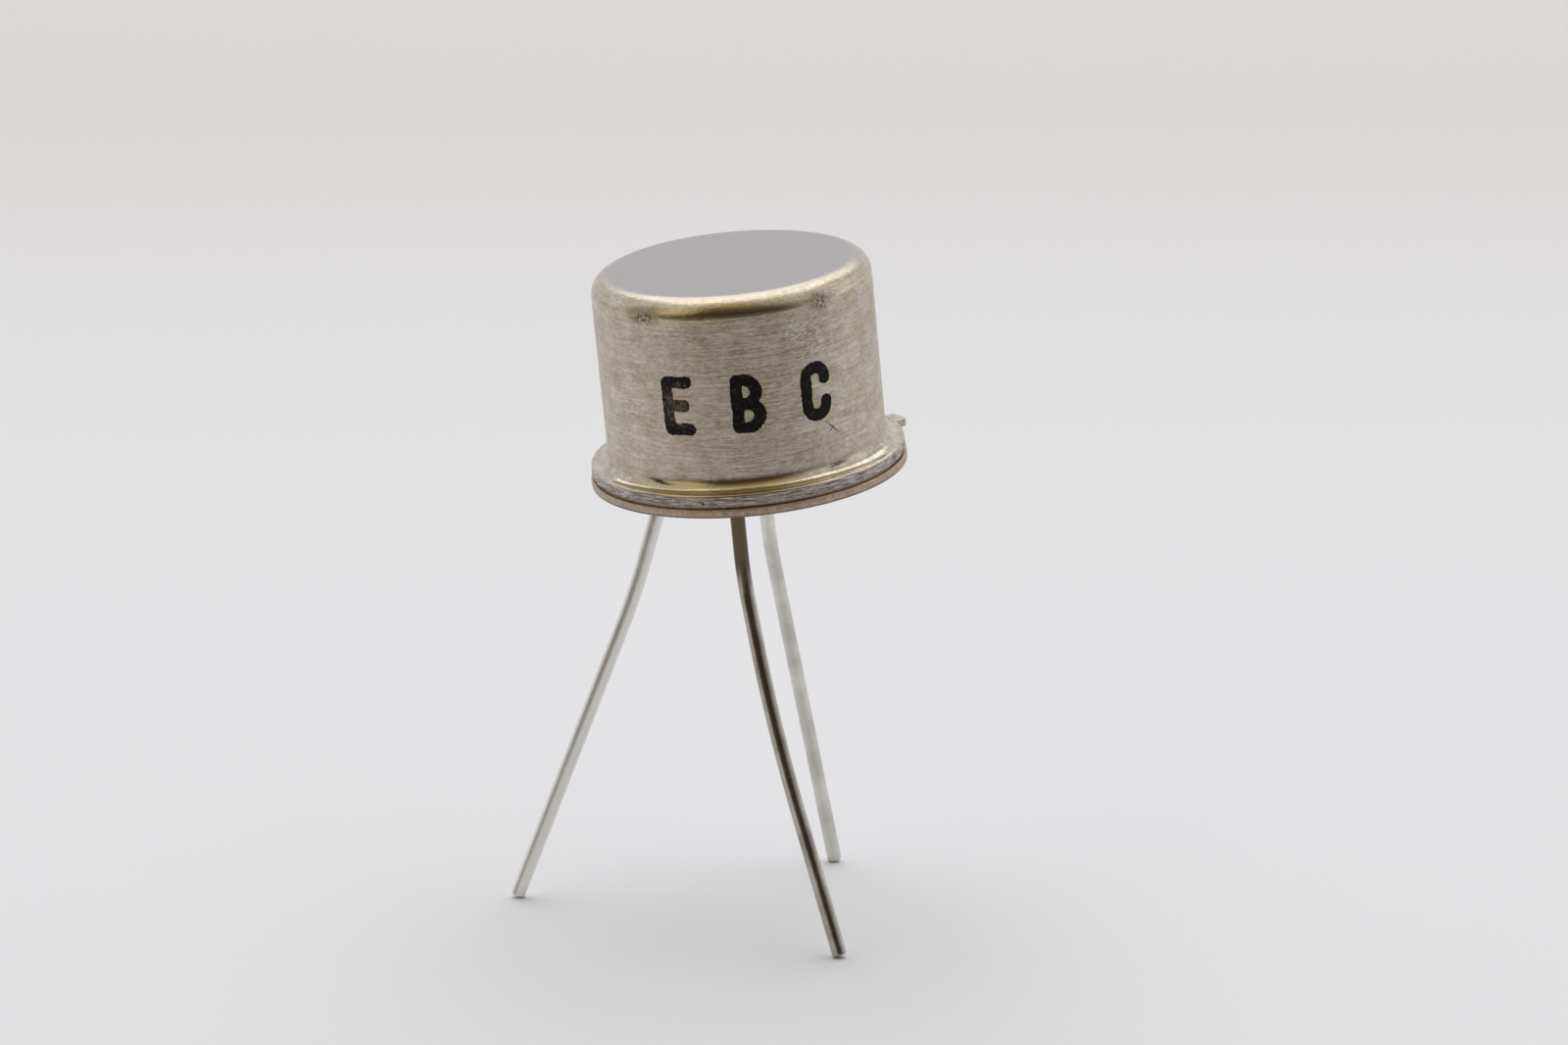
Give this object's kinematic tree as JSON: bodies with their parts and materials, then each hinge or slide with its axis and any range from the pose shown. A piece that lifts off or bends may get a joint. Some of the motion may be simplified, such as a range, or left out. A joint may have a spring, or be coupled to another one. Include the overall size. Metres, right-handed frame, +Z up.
{
  "type": "transistor",
  "caption": "Transistor in a round welded metal can with an index tab, glass-sealed header and wire leads, standing on its splayed leads.",
  "frame": {"origin": "on the ground, under the middle of the part's outline, where it stands on the tips of its three leads", "axes": "+Z up; the front lead and the face towards the viewer of the picture are on the -Y side, +X to the right; the can leans about 6 degrees to the left and forward"},
  "size_m": [0.0118, 0.01, 0.0198],
  "materials": {
    "cap_nickel": "drawn nickel, fine matte",
    "header_plate": "plated, satin",
    "seal_glass": "fused green glass",
    "lead_wire": "plated wire, tarnished",
    "silicon": "polished silicon",
    "gold_solder": "gold solder",
    "bond_aluminium": "bright wire"
  },
  "bodies": {
    "root": {"cap": "cap_nickel", "header": "header_plate", "emitter_seal": "seal_glass", "base_seal": "seal_glass", "emitter_lead": "lead_wire", "base_lead": "lead_wire", "collector_lead": "lead_wire", "die": "silicon", "die_solder": "gold_solder", "emitter_bond_wire": "bond_aluminium", "base_bond_wire": "bond_aluminium"}
  },
  "joints": []
}
